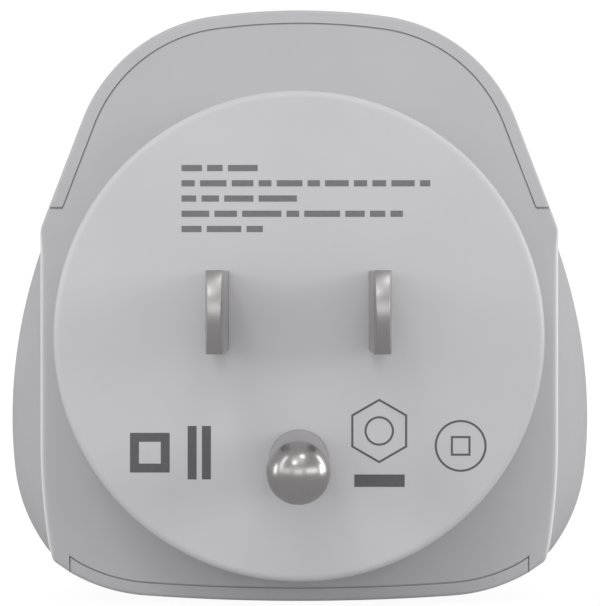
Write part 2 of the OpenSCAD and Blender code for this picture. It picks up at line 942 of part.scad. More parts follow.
// A closed tube swept along a helix round the Z axis
module coil(r, wire_r, height, turns, steps_per_turn = 14, sides = 5) {
    steps = turns * steps_per_turn;
    points = [
        for (i = [0:steps]) for (k = [0:sides - 1])
            let (
                turn = 360 * i / steps_per_turn,
                a = 360 * k / sides,
                out = r + wire_r * cos(a)
            )
            [out * cos(turn), out * sin(turn), wire_r + (height - 2 * wire_r) * i / steps + wire_r * sin(a)]
    ];
    tube = [
        for (i = [0:steps - 1]) for (k = [0:sides - 1])
            let (next = (k + 1) % sides)
            [i * sides + k, i * sides + next, (i + 1) * sides + next, (i + 1) * sides + k]
    ];
    start = [for (k = [sides - 1:-1:0]) k];
    end = [for (k = [0:sides - 1]) steps * sides + k];
    polyhedron(points, concat(tube, [start], [end]));
}

module shutter_spring() {
    play = 0.05;
    color(steel_colour)
        translate([0, -spring_depth, spring_seat + play])
            coil(
                (spring_d - spring_wire_d) / 2,
                spring_wire_d / 2,
                spring_top - spring_seat - 2 * play,
                spring_turns
            );
}

module frame_outline() {
    plate_half_w = 17.2;
    plate_top = 8;
    neck_half_w = 6.8;
    neck_top = 19.5;
    intersection() {
        offset(delta = -wall - 0.3)
            body_outline();
        union() {
            translate([-plate_half_w, body_bottom])
                square([2 * plate_half_w, plate_top - body_bottom]);
            translate([-neck_half_w, 0])
                square([2 * neck_half_w, neck_top]);
        }
    }
}

module shutter_frame() {
    rail_x = bar_half_w + loose;
    rail_t = 1.8;
    rail_z = [-19.5, -5];
    stop_x = [9, rail_x + 0.5];
    stop_t = 1.2;
    low_stop_z = bar_bottom - shutter_travel - loose;
    seat_half_w = 4;
    seat_t = 2;
    window_half_h = 2.8;
    rail = [frame_back, inner_face - 0.1];
    color(inner_colour)
        difference() {
            union() {
                slab(frame_back, frame_front)
                    frame_outline();
                both_sides() {
                    block([rail_x, rail_x + rail_t], rail, rail_z);
                    block(stop_x, rail, [bar_top + loose, bar_top + loose + stop_t]);
                    block(stop_x, rail, [low_stop_z - stop_t, low_stop_z]);
                }
                block(
                    [-seat_half_w, seat_half_w],
                    [frame_back, spring_depth + spring_d / 2],
                    [spring_seat - seat_t, spring_seat]
                );
            }
            both_sides() {
                // Windows for the plug's pins
                block(
                    [slot_x - power_cell_half, slot_x + power_cell_half],
                    [frame_back - 1, frame_front + 1],
                    [slots_z - window_half_h, slots_z + window_half_h]
                );
                rod(carrier_screws_at[0], [frame_back - 1, inner_face], boss_d + 2 * loose + 0.2);
                rod(frame_screw_at, [frame_back - 1, frame_front + 1], screw_pass_d);
            }
            // Opening that the ramp slides in
            block(
                [-tongue_half_w - loose, tongue_half_w + loose],
                [frame_back - 1, frame_front + 1],
                [-3, earth_slot_z + earth_slot_h / 2 + loose]
            );
            // Trough behind the spring
            block(
                [-spring_d / 2 - loose, spring_d / 2 + loose],
                [spring_depth - spring_d / 2 - loose, frame_front + 1],
                [spring_seat, 0]
            );
        }
}

// ------------------------------------------------------------ screws

// A pan-head screw along Y: its head starts at the given depth and the shank
// runs towards the front, or towards the back when dir is -1
module screw(at, head_at, length, dir = 1) {
    recess_w = 0.6;
    recess_l = 2.2;
    translate([at[0], -head_at, at[1]])
        mirror([0, dir > 0 ? 0 : 1, 0])
            rotate([90, 0, 0])
                difference() {
                    union() {
                        cylinder(d = screw_head_d, h = screw_head_t);
                        translate([0, 0, screw_head_t - 0.1])
                            cylinder(d = screw_d, h = length + 0.1);
                    }
                    for (turn = [0, 90])
                        rotate([0, 0, turn])
                            translate([-recess_l / 2, -recess_w / 2, -1])
                                cube([recess_l, recess_w, 1 + 0.8]);
                }
}

module disc_screws() {
    color(steel_colour)
        for (at = disc_screws_at())
            screw(at, cover_front + clearance + screw_head_t, 6.2, -1);
}

module carrier_screws() {
    color(steel_colour)
        both_sides()
            for (at = carrier_screws_at)
                screw(at, carrier_back - clearance - screw_head_t, 9);
}

module frame_screws() {
    color(steel_colour)
        both_sides()
            screw(frame_screw_at, frame_back - clearance - screw_head_t, 5.2);
}

front_housing();
rear_cover();
plug_disc();
line_blade();
neutral_blade();
earth_pin();
blade_rivets();
line_contact();
neutral_contact();
earth_contact();
fuse_clip();
fuse_tube();
fuse_caps();
contact_carrier();
shutter();
shutter_spring();
shutter_frame();
disc_screws();
carrier_screws();
frame_screws();
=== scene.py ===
"""Looks of a grounded travel plug adaptor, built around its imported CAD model.

Every size below is in millimetres in the CAD's frame: +Z up, +Y towards the wall,
with the origin on the wall plane midway between the two flat blades. A depth is a
distance in front of the wall plane, so a point at depth d has y = -d.
"""

import math
import random

import bmesh
import bpy
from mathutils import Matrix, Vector


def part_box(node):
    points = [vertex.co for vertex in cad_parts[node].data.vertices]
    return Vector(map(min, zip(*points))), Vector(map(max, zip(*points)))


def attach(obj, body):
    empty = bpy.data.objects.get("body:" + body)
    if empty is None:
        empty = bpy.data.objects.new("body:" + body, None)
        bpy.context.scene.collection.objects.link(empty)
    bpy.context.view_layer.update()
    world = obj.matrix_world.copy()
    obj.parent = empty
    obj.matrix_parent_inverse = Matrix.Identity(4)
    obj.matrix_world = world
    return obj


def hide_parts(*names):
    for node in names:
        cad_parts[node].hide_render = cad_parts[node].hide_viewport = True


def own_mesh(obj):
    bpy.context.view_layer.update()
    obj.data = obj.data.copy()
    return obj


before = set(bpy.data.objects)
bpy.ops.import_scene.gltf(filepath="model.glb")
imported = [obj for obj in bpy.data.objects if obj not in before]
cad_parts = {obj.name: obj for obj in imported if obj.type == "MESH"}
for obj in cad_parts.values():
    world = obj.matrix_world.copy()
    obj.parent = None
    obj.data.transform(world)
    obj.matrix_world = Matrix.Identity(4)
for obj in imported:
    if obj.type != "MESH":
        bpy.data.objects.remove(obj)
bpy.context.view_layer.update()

MM = 0.001
CASE = "case"


def box_mm(node):
    """Lowest and highest corners of a CAD node, in millimetres."""
    low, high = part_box(node)
    return low / MM, high / MM


# ---------------------------------------------------------------- sizes

HOUSING_LOW, HOUSING_HIGH = box_mm("front_housing")
COVER_HIGH = box_mm("rear_cover")[1]
DISC_LOW, DISC_HIGH = box_mm("plug_disc")
BLADE_HIGH = box_mm("line_blade")[1]
PIN_LOW, PIN_HIGH = box_mm("earth_pin")
SPRING_LOW, SPRING_HIGH = box_mm("shutter_spring")

# Casing
BACK_PLANE = -HOUSING_HIGH.y
FACE_PLANE = -HOUSING_LOW.y
BODY_TOP = HOUSING_HIGH.z
BODY_BOTTOM = HOUSING_LOW.z
SIDE_X = COVER_HIGH.x
SIDE_SLOPE = 21.0
CORNER_Z = 6.6
HEEL_CORNER_Z = -20.85
BASE_R = 180.0
BASE_CENTRE = Vector((0, BODY_BOTTOM + BASE_R))
WALL = 2.0
INNER_FACE = FACE_PLANE - WALL
FACE_EDGE_R = 3.0
BACK_EDGE_R = 0.3
SIDE_EDGE_R = 0.6
SIDE_EDGE_FADE = 1.5

# The rear cover, the lips of the housing round it, and the seam and slits between them
LIP_T = 1.05
LIP_END_X = 18.97
LIP_END_Z = 8.5
SEAM = 0.13
SEAM_DEPTH = 0.24
SLIT = Vector((0.1, 0.2))
SLIT_DEPTH = 0.35
COVER_T = 2.2
COVER_FRONT = BACK_PLANE + COVER_T
CHEEK_END = BACK_PLANE + 6

# Plug
DISC_R = (DISC_HIGH.x - DISC_LOW.x) / 2
DISC_Z = (DISC_HIGH.z + DISC_LOW.z) / 2
DISC_EDGE_R = 0.6
BLADE_X = 12.7 / 2
BLADE_H = 6.35
BLADE_T = 1.42
BLADE_REACH = BLADE_HIGH.y
PIN_R = 2.4
PIN_REACH = PIN_HIGH.y
PIN_Z = (PIN_LOW.z + PIN_HIGH.z) / 2
PIN_ROOT = -9.5

# Socket
SLOTS_Z = -9.5
SLOT_X = 11.1
SLOT_SIZE = (7.1, 4.7)
EARTH_SLOT_Z = SLOTS_Z + 22.2
EARTH_SLOT_SIZE = (4.7, 8.6)

# Well beyond the casing, for the far ends of cutting tools
FAR = 40


# ---------------------------------------------------------------- plane geometry


def unit(degrees):
    a = math.radians(degrees)
    return Vector((math.cos(a), math.sin(a)))


def arc(centre, r, start, end, steps):
    """Points [x, z] along an arc, both ends included."""
    return [Vector(centre) + r * unit(start + (end - start) * i / steps) for i in range(steps + 1)]


def line(start, end, steps):
    """Points along a straight line, without its two ends."""
    return [start.lerp(end, i / steps) for i in range(1, steps)]


def whole(half):
    """A right half outline and its mirror image, going round clockwise from the top."""
    return half + [Vector((-p.x, p.y)) for p in half[-2:0:-1]]


def touching_arcs():
    """The right half of the back plate's outline, from the top middle to the bottom middle:
    a crown, a shoulder, a sloped side, a straight side, a heel, a toe and a base."""
    crown_r, shoulder_r, slope = 53.0, 13.6, SIDE_SLOPE
    corner = Vector((SIDE_X, CORNER_Z))
    crown_centre = Vector((0, BODY_TOP - crown_r))
    up = unit(90 + slope)
    start = corner - shoulder_r * unit(slope) - crown_centre
    along = start.dot(up)
    run = -along + math.sqrt(along**2 - start.dot(start) + (crown_r - shoulder_r) ** 2)
    off = start + run * up
    join = math.degrees(math.atan2(off.y, off.x))
    shoulder_centre = crown_centre + off

    heel_r, heel_top, heel_bottom = 55.0, -11.0, -19.5
    heel_turn = math.degrees(math.asin((heel_top - heel_bottom) / heel_r))
    heel = arc((SIDE_X - heel_r, heel_top), heel_r, 0, -heel_turn, 12)
    heel_corner = Vector((SIDE_X - 1.05, HEEL_CORNER_Z))

    toe_r, toe_x = 14.5, 12.8
    toe_join = -90 + math.degrees(math.asin(toe_x / BASE_R))
    toe_centre = BASE_CENTRE + (BASE_R - toe_r) * unit(toe_join)
    toe_end = -math.degrees(math.acos((LIP_END_X - toe_centre.x) / toe_r))
    toe = arc(toe_centre, toe_r, toe_end, toe_join, 14)

    slope_end = shoulder_centre + shoulder_r * unit(slope)
    bend = rounded_corner(slope_end, corner, heel[0], 0.6)
    heel_bend = rounded_corner(heel[-1], heel_corner, toe[0], 0.35)
    return (
        arc(crown_centre, crown_r, 90, join, 16)
        + arc(shoulder_centre, shoulder_r, join, slope, 36)[1:]
        + line(slope_end, bend[0], 14)
        + bend
        + line(bend[-1], heel[0], 26)
        + heel
        + line(heel[-1], heel_bend[0], 12)
        + heel_bend
        + line(heel_bend[-1], toe[0], 12)
        + toe
        + arc(BASE_CENTRE, BASE_R, toe_join, -90, 22)[1:]
    )


def rounded_corner(before, corner, after, size, steps=6):
    """A smooth bend through a corner, that starts and ends size away from it."""
    start = corner + (before - corner).normalized() * size
    end = corner + (after - corner).normalized() * size
    points = []
    for i in range(steps + 1):
        t = i / steps
        points.append(start.lerp(corner, t).lerp(corner.lerp(end, t), t))
    return points


def moved_in(points, distances):
    """A closed clockwise outline, each of whose points moves its own distance inwards."""
    sharpest = 0.5
    count = len(points)
    result = []
    for i, p in enumerate(points):
        a = (p - points[i - 1]).normalized()
        b = (points[(i + 1) % count] - p).normalized()
        normal_a = Vector((a.y, -a.x))
        normal_b = Vector((b.y, -b.x))
        mean = (normal_a + normal_b).normalized()
        result.append(p + mean * distances[i] / max(mean.dot(normal_a), sharpest))
    return result


def gap_to(point, outline):
    """Distance from a point to a closed outline."""
    nearest = math.inf
    for i, b in enumerate(outline):
        a = outline[i - 1]
        along = b - a
        t = min(max((point - a).dot(along) / along.dot(along), 0), 1)
        nearest = min(nearest, (point - a - along * t).length)
    return nearest


def inset(outline, distance):
    """A closed outline moved inwards, without the loops that small corners leave."""
    least_gap = 0.9999 * distance
    moved = moved_in(outline, [distance] * len(outline))
    return [p for p in moved if gap_to(p, outline) > least_gap]


OUTLINE = whole(touching_arcs())
MIDDLE = Vector((0, -2))

# The swelling of each side towards the front, whose outline is four arcs and the base
BULGE_X = HOUSING_HIGH.x
BULGE_Z = -9.9
BULGE_START = BACK_PLANE + 4
BULGE_FULL = BACK_PLANE + 23
BULGE_DIES_OUT = 55
UPPER_R, MIDDLE_R, LOWER_R, FOOT_R = 44.0, 40.0, 14.0, 4.3
MIDDLE_TURN = -6.6
FOOT_Z = BODY_BOTTOM + 1.16
UPPER_CENTRE = Vector((BULGE_X - UPPER_R, BULGE_Z))
MIDDLE_CENTRE = Vector((BULGE_X - MIDDLE_R, BULGE_Z))
LOWER_CENTRE = MIDDLE_CENTRE + (MIDDLE_R - LOWER_R) * unit(MIDDLE_TURN)
FOOT_TURN = -math.degrees(math.asin((LOWER_CENTRE.y - FOOT_Z - FOOT_R) / (LOWER_R - FOOT_R)))
FOOT_CENTRE = LOWER_CENTRE + (LOWER_R - FOOT_R) * unit(FOOT_TURN)


def circle_reach(centre, r, direction):
    """How far a circle reaches from the body's middle in a direction."""
    to = centre - MIDDLE
    along = to.dot(direction)
    return along + math.sqrt(max(along**2 - to.dot(to) + r**2, 0))


def angle_of(point):
    """The direction of a point from the body's middle, in degrees from +X."""
    to = Vector(point) - MIDDLE
    return math.degrees(math.atan2(to.y, to.x))


WIDEST_ANGLE = angle_of((BULGE_X, BULGE_Z))
LOWER_FROM = angle_of(LOWER_CENTRE + LOWER_R * unit(MIDDLE_TURN))
FOOT_FROM = angle_of(FOOT_CENTRE + FOOT_R * unit(FOOT_TURN))
FOOT_TO = angle_of((FOOT_CENTRE.x, FOOT_Z))


def bulge_reach(direction):
    """How far the fully swollen body reaches, on either side."""
    rightwards = Vector((abs(direction.x), direction.y))
    a = math.degrees(math.atan2(rightwards.y, rightwards.x))
    if a > BULGE_DIES_OUT:
        return 0
    if a > WIDEST_ANGLE:
        return circle_reach(UPPER_CENTRE, UPPER_R, rightwards)
    if a > LOWER_FROM:
        return circle_reach(MIDDLE_CENTRE, MIDDLE_R, rightwards)
    if a > FOOT_FROM:
        return circle_reach(LOWER_CENTRE, LOWER_R, rightwards)
    if a > FOOT_TO:
        return circle_reach(FOOT_CENTRE, FOOT_R, rightwards)
    return circle_reach(BASE_CENTRE, BASE_R, rightwards)


def swell_at(depth):
    """How far the sides have swollen at a depth, from 0 to 1."""
    run = (depth - BULGE_START) / (BULGE_FULL - BULGE_START)
    run = min(max(run, 0), 1)
    return (1 - math.cos(math.pi * run)) / 2


def swollen(outline, depth, edge):
    """The outline at a depth, swollen at the sides and moved in by a rounded edge."""
    swell = swell_at(depth)
    result = []
    for p in outline:
        out = (p - MIDDLE).length
        direction = (p - MIDDLE) / out
        full = max(out, bulge_reach(direction))
        result.append(MIDDLE + direction * (out + swell * (full - out)))
    return moved_in(result, [edge] * len(result)) if edge else result


def hollowed(outline, depth, wall):
    """The outline at a depth, moved towards the body's middle by the wall."""
    return [p - (p - MIDDLE).normalized() * wall for p in swollen(outline, depth, 0)]


# ---------------------------------------------------------------- mesh helpers


def make_piece(name, mesh, material, body=CASE, sharp=30):
    """Links a mesh as a piece that rides on a CAD body, smooth except at sharp edges."""
    piece = bpy.data.objects.new(name, mesh)
    bpy.context.scene.collection.objects.link(piece)
    mesh.materials.clear()
    mesh.materials.append(material)
    mesh.polygons.foreach_set("use_smooth", [True] * len(mesh.polygons))
    mesh.set_sharp_from_angle(angle=math.radians(sharp))
    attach(piece, body)
    return piece


def mesh_of(name, verts, faces):
    """A mesh in metres from points in millimetres, with its normals facing out."""
    mesh = bpy.data.meshes.new(name)
    mesh.from_pydata([Vector(v) * MM for v in verts], [], faces)
    work = bmesh.new()
    work.from_mesh(mesh)
    bmesh.ops.remove_doubles(work, verts=work.verts, dist=1e-7)
    bmesh.ops.recalc_face_normals(work, faces=work.faces)
    work.to_mesh(mesh)
    work.free()
    return mesh


def loft(name, rings):
    """A closed mesh through rings of points, with a flat face at each end."""
    count = len(rings[0])
    verts = [p for ring in rings for p in ring]
    faces = []
    for k in range(len(rings) - 1):
        for i in range(count):
            j = (i + 1) % count
            near, far = k * count, (k + 1) * count
            faces.append((near + i, near + j, far + j, far + i))
    faces.append(tuple(range(count)))
    last = (len(rings) - 1) * count
    faces.append(tuple(last + i for i in range(count)))
    return mesh_of(name, verts, faces)


def ring_at(outline, depth):
    """An outline's points [x, z] as points in space at a depth."""
    return [(p.x, -depth, p.y) for p in outline]


def prism(name, outline, start, end):
    """An outline in the X-Z plane, extruded from one depth to another."""
    return loft(name, [ring_at(outline, start), ring_at(outline, end)])


def lathe(name, section, at, steps):
    """A closed solid turned round an axis along Y through [x, z]. The section is a list
    of [radius, y] whose first and last points are on the axis."""
    verts = [(at[0], section[0][1], at[1])]
    for r, y in section[1:-1]:
        for i in range(steps):
            turn = unit(360 * i / steps)
            verts.append((at[0] + r * turn.x, y, at[1] + r * turn.y))
    verts.append((at[0], section[-1][1], at[1]))
    rings = len(section) - 2
    last = len(verts) - 1
    faces = []
    for i in range(steps):
        j = (i + 1) % steps
        faces.append((0, 1 + j, 1 + i))
        end = 1 + (rings - 1) * steps
        faces.append((last, end + i, end + j))
        for k in range(rings - 1):
            near, far = 1 + k * steps, 1 + (k + 1) * steps
            faces.append((near + i, near + j, far + j, far + i))
    return mesh_of(name, verts, faces)


def combined(base, tool, operation):
    """The exact boolean of two closed meshes. Both are used up."""
    scene = bpy.context.scene
    objects = []
    for mesh in (base, tool):
        thing = bpy.data.objects.new("boolean", mesh)
        scene.collection.objects.link(thing)
        objects.append(thing)
    modifier = objects[0].modifiers.new("boolean", "BOOLEAN")
    modifier.operation = operation
    modifier.solver = "EXACT"
    modifier.object = objects[1]
    bpy.context.view_layer.update()
    graph = bpy.context.evaluated_depsgraph_get()
    result = bpy.data.meshes.new_from_object(objects[0].evaluated_get(graph))
    for thing in objects:
        bpy.data.objects.remove(thing)
    return result


def cut(base, *tools):
    for tool in tools:
        base = combined(base, tool, "DIFFERENCE")
    return base


def join(base, *tools):
    for tool in tools:
        base = combined(base, tool, "UNION")
    return base


def rounded_rectangle(w, h, r, steps=5):
    """A rectangle round the origin with rounded corners, going round once."""
    points = []
    for sx, sy, start in ((1, 1, 0), (-1, 1, 90), (-1, -1, 180), (1, -1, 270)):
        points += arc((sx * (w / 2 - r), sy * (h / 2 - r)), r, start, start + 90, steps)
    return points


# ---------------------------------------------------------------- materials


NOISE_SPREAD = (0.3, 0.7)


class Nodes:
    """A small wrapper that builds one procedural material. Noise is in metres."""

    def __init__(self, name):
        self.material = bpy.data.materials.new(name)
        self.material.use_nodes = True
        self.tree = self.material.node_tree
        self.shader = self.tree.nodes["Principled BSDF"]
        self.place = self.add("ShaderNodeTexCoord").outputs["Object"]

    def add(self, kind, **values):
        node = self.tree.nodes.new(kind)
        for key, value in values.items():
            setattr(node, key, value)
        return node

    def link(self, out, into):
        self.tree.links.new(out, into)

    def noise(self, scale, detail=3.0, stretch=None):
        """Noise of so many waves a metre, optionally stretched along the axes."""
        node = self.add("ShaderNodeTexNoise")
        node.inputs["Scale"].default_value = scale
        node.inputs["Detail"].default_value = detail
        if stretch:
            mapping = self.add("ShaderNodeMapping")
            mapping.inputs["Scale"].default_value = stretch
            self.link(self.place, mapping.inputs["Vector"])
            self.link(mapping.outputs["Vector"], node.inputs["Vector"])
        else:
            self.link(self.place, node.inputs["Vector"])
        return node.outputs["Fac"]

    def mapped(self, value, start, end, low=0.0, high=1.0):
        """Maps the values from start to end to the range from low to high."""
        node = self.add("ShaderNodeMapRange")
        node.inputs["From Min"].default_value = start
        node.inputs["From Max"].default_value = end
        node.inputs["To Min"].default_value = low
        node.inputs["To Max"].default_value = high
        self.link(value, node.inputs["Value"])
        return node.outputs["Result"]

    def between(self, noise, low, high):
        """Maps the usual spread of a noise to a range of values."""
        return self.mapped(noise, *NOISE_SPREAD, low, high)

    def colours(self, noise, low, high):
        """Maps the usual spread of a noise to a range of colours."""
        node = self.add("ShaderNodeValToRGB")
        for element, position, colour in zip(node.color_ramp.elements, NOISE_SPREAD, (low, high)):
            element.position = position
            element.color = (*colour, 1)
        self.link(noise, node.inputs["Fac"])
        return node.outputs["Color"]

    def product(self, values):
        total = values[0]
        for value in values[1:]:
            node = self.add("ShaderNodeMath", operation="MULTIPLY")
            self.link(total, node.inputs[0])
            self.link(value, node.inputs[1])
            total = node.outputs["Value"]
        return total

    def axes(self, vector):
        node = self.add("ShaderNodeSeparateXYZ")
        self.link(vector, node.inputs["Vector"])
        return node.outputs

    def bump(self, height, strength, distance):
        node = self.add("ShaderNodeBump")
        node.inputs["Strength"].default_value = strength
        node.inputs["Distance"].default_value = distance
        self.link(height, node.inputs["Height"])
        self.link(node.outputs["Normal"], self.shader.inputs["Normal"])


def plastic(name, colour, roughness, grain, side_edge_highlight=None):
    """Moulded plastic: faint mottling, the fine grain of a spark-eroded mould, and optionally a painted
    highlight down the back plate's side edges.
    """
    n = Nodes(name)
    low = [c * 0.975 for c in colour]
    high = [min(c * 1.02, 1) for c in colour]
    n.link(n.colours(n.noise(90), low, high), n.shader.inputs["Base Color"])
    n.link(n.between(n.noise(700), roughness - 0.04, roughness + 0.05), n.shader.inputs["Roughness"])
    n.bump(n.noise(9000, detail=2), 0.35, grain)
    if side_edge_highlight:
        paint_side_edge_highlight(n, side_edge_highlight)
    return n.material


def paint_side_edge_highlight(n, colour):
    """Paints a highlight into the colour of the rounded back edge down the plate's two sides:
    only where the surface turns away from the back, close behind the back plane, between the two corners."""
    base = n.shader.inputs["Base Color"]
    plain = base.links[0].from_socket
    place = n.axes(n.place)
    normal = n.axes(n.add("ShaderNodeNewGeometry").outputs["Normal"])
    edge_end = -(BACK_PLANE + SIDE_EDGE_R)
    share = n.product([
        n.mapped(normal["Y"], 0.9, 0.45),
        n.mapped(place["Y"], (edge_end - 0.15) * MM, edge_end * MM),
        n.mapped(place["Z"], (CORNER_Z + 0.2) * MM, (CORNER_Z - 0.6) * MM),
        n.mapped(place["Z"], HEEL_CORNER_Z * MM, (HEEL_CORNER_Z + 0.8) * MM),
    ])
    # Mixes the painted highlight colour into the plain base colour
    mix = n.add("ShaderNodeMixRGB")
    mix.inputs["Color2"].default_value = (*colour, 1)
    n.link(share, mix.inputs["Fac"])
    n.link(plain, mix.inputs["Color1"])
    n.link(mix.outputs["Color"], base)


def metal(name, colour, roughness, streaks=(1, 0.05, 1), grain=0.1):
    """Plated or rolled metal: faint tarnish, and fine polishing marks along one axis."""
    n = Nodes(name)
    low = [c * 0.975 for c in colour]
    high = [min(c * 1.025, 1) for c in colour]
    n.link(n.colours(n.noise(260), low, high), n.shader.inputs["Base Color"])
    n.shader.inputs["Metallic"].default_value = 1
    fine = n.noise(7000, detail=2, stretch=streaks)
    n.link(n.between(fine, roughness - 0.3 * grain, roughness + 0.4 * grain), n.shader.inputs["Roughness"])
    n.bump(fine, grain, 0.000004)
    return n.material


def ceramic(name, colour):
    """Unglazed fuse ceramic: matt and very slightly pitted."""
    n = Nodes(name)
    n.link(n.colours(n.noise(1500), [c * 0.93 for c in colour], colour), n.shader.inputs["Base Color"])
    n.link(n.between(n.noise(2500), 0.55, 0.75), n.shader.inputs["Roughness"])
    n.bump(n.noise(6000), 0.3, 0.00003)
    return n.material


def ink(name, colour):
    """Pad-printed ink, a little uneven in tone."""
    n = Nodes(name)
    n.link(n.colours(n.noise(2500), [c * 0.94 for c in colour], [c * 1.06 for c in colour]),
           n.shader.inputs["Base Color"])
    n.link(n.between(n.noise(1800), 0.5, 0.65), n.shader.inputs["Roughness"])
    return n.material


CASING = plastic("casing_plastic", (0.57, 0.57, 0.585), 0.36, 0.000008)
# The cover's plastic is the casing's, plus a painted highlight down the back plate's side edges
COVER = plastic("cover_plastic", (0.57, 0.57, 0.585), 0.36, 0.000008, side_edge_highlight=(0.98, 0.98, 0.98))
DISC_PLASTIC = plastic("disc_plastic", (0.685, 0.68, 0.70), 0.36, 0.000008)
NICKEL = metal("nickel_plate", (0.445, 0.43, 0.43), 0.33)
TURNED_NICKEL = metal("turned_nickel", (0.435, 0.42, 0.42), 0.27, grain=0.01)
BRASS = metal("contact_brass", (0.78, 0.58, 0.27), 0.34)
STEEL = metal("zinc_steel", (0.58, 0.59, 0.61), 0.36, streaks=(1, 1, 1))
SPRING_STEEL = metal("spring_steel", (0.50, 0.51, 0.53), 0.3, streaks=(1, 1, 0.1))
INNER = plastic("inner_plastic", (0.055, 0.058, 0.064), 0.52, 0.00002)
SHUTTER = plastic("shutter_plastic", (0.50, 0.50, 0.49), 0.38, 0.000008)
CERAMIC = ceramic("fuse_ceramic", (0.86, 0.84, 0.79))
INK = ink("grey_ink", (0.125, 0.125, 0.13))
FINE_INK = ink("fine_grey_ink", (0.21, 0.21, 0.215))


# ---------------------------------------------------------------- casing


def rectangle(x, z):
    """Corners [x, z] of an upright rectangle, whose sides are at x[0], x[1], z[0] and z[1]."""
    return [Vector((x[0], z[0])), Vector((x[1], z[0])), Vector((x[1], z[1])), Vector((x[0], z[1]))]


def mirrored(points):
    """An outline's mirror image on the other side, going round the same way."""
    return [Vector((-p.x, p.y)) for p in reversed(points)]


def back_edge_r(point):
    """The rounding of the back edge, which is larger down the two straight sides."""
    if abs(point.x) < LIP_END_X:
        return BACK_EDGE_R
    inside = min(CORNER_Z - point.y, point.y - HEEL_CORNER_Z) / SIDE_EDGE_FADE
    return BACK_EDGE_R + (SIDE_EDGE_R - BACK_EDGE_R) * min(max(inside, 0), 1)


def back_edge_ring(turn):
    """A ring of the rounded back edge: turn is 0 on the back plane and 90 on the side."""
    radii = [back_edge_r(p) for p in OUTLINE]
    deep, out = 1 - math.cos(math.radians(turn)), 1 - math.sin(math.radians(turn))
    moved = moved_in(OUTLINE, [r * out for r in radii])
    return [(p.x, -BACK_PLANE - r * deep, p.y) for p, r in zip(moved, radii)]


def outer_body(name, end):
    """The casing's outer surface from the back plane to a depth, both edges rounded."""
    back_steps, flank_steps, face_steps = 8, 26, 10
    back_rings = [back_edge_ring(90 * i / back_steps) for i in range(back_steps + 1)]
    rings = [(BULGE_START, 0)]
    if end > BULGE_FULL:
        for i in range(1, flank_steps + 1):
            rings.append((BULGE_START + (BULGE_FULL - BULGE_START) * i / flank_steps, 0))
        for i in range(face_steps + 1):
            a = math.radians(90 * i / face_steps)
            rings.append((end - FACE_EDGE_R * (1 - math.sin(a)), FACE_EDGE_R * (1 - math.cos(a))))
    else:
        rings.append((end, 0))
    return loft(name, back_rings + [ring_at(swollen(OUTLINE, d, edge), d) for d, edge in rings])


def inner_body():
    """The hollow inside the front housing, open at the back."""
    steps, past = 14, 1
    depths = [BACK_PLANE - past, BULGE_START]
    depths += [BULGE_START + (BULGE_FULL - BULGE_START) * i / steps for i in range(1, steps + 1)]
    depths.append(INNER_FACE)
    return loft("hollow", [ring_at(hollowed(OUTLINE, d, WALL), d) for d in depths])


def slot_cutter(at, size):
    """The space of a socket slot, whose mouth curves out into the face."""
    mouth_r, corner_r, steps = 0.55, 0.35, 6
    rings = [(INNER_FACE - 1, 0), (FACE_PLANE - mouth_r, 0)]
    for i in range(1, steps + 1):
        a = math.radians(90 * i / steps)
        rings.append((FACE_PLANE - mouth_r + mouth_r * math.sin(a), mouth_r * (1 - math.cos(a))))
    rings.append((FACE_PLANE + 0.5, mouth_r + 0.05))
    outlines = []
    for depth, wider in rings:
        corners = rounded_rectangle(size[0] + 2 * wider, size[1] + 2 * wider, corner_r + wider)
        outlines.append(ring_at([Vector(at) + p for p in corners], depth))
    return loft("slot", outlines)


def pillar(at):
    """A pillar inside the housing's face, with a blind bore for a screw of the carrier."""
    outer_r, bore_r = 2.2, 1.15
    start = 18.3
    bore_end = start + 8
    end = INNER_FACE + 0.4
    section = [
        (0, -bore_end), (bore_r, -bore_end), (bore_r, -start),
        (outer_r, -start), (outer_r, -end), (0, -end),
    ]
    return lathe("pillar", section, at, 32)


def blade_outline(side, gap):
    """Corners of a blade's cross-section, with a gap all round."""
    x, half_t, half_h = side * BLADE_X, BLADE_T / 2 + gap, BLADE_H / 2 + gap
    return rectangle((x - half_t, x + half_t), (-half_h, half_h))


def make_front_housing():
    """The outer shell, open at the back, with the socket's slots in its face."""
    mesh = outer_body("front_housing_shell", FACE_PLANE)
    mesh = cut(mesh, inner_body())
    # The rebate that the rear cover's plate lies in, then the openings for its cheeks
    rebate_depth = COVER_FRONT + 0.1
    mesh = cut(mesh, prism("rebate", inset(OUTLINE, LIP_T), BACK_PLANE - 1, rebate_depth))
    cheek = rectangle((LIP_END_X, FAR), (-FAR, LIP_END_Z))
    for outline in (cheek, mirrored(cheek)):
        mesh = cut(mesh, prism("opening", outline, BACK_PLANE - 1, CHEEK_END + SEAM))
    for x, z, size in (
        (SLOT_X, SLOTS_Z, SLOT_SIZE),
        (-SLOT_X, SLOTS_Z, SLOT_SIZE),
        (0, EARTH_SLOT_Z, EARTH_SLOT_SIZE),
    ):
        mesh = cut(mesh, slot_cutter((x, z), size))
    for x, z in ((17.6, -15), (9.5, 19)):
        for side in (1, -1):
            mesh = join(mesh, pillar((side * x, z)))
    piece = make_piece("casing_shell", mesh, CASING)
    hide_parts("front_housing")


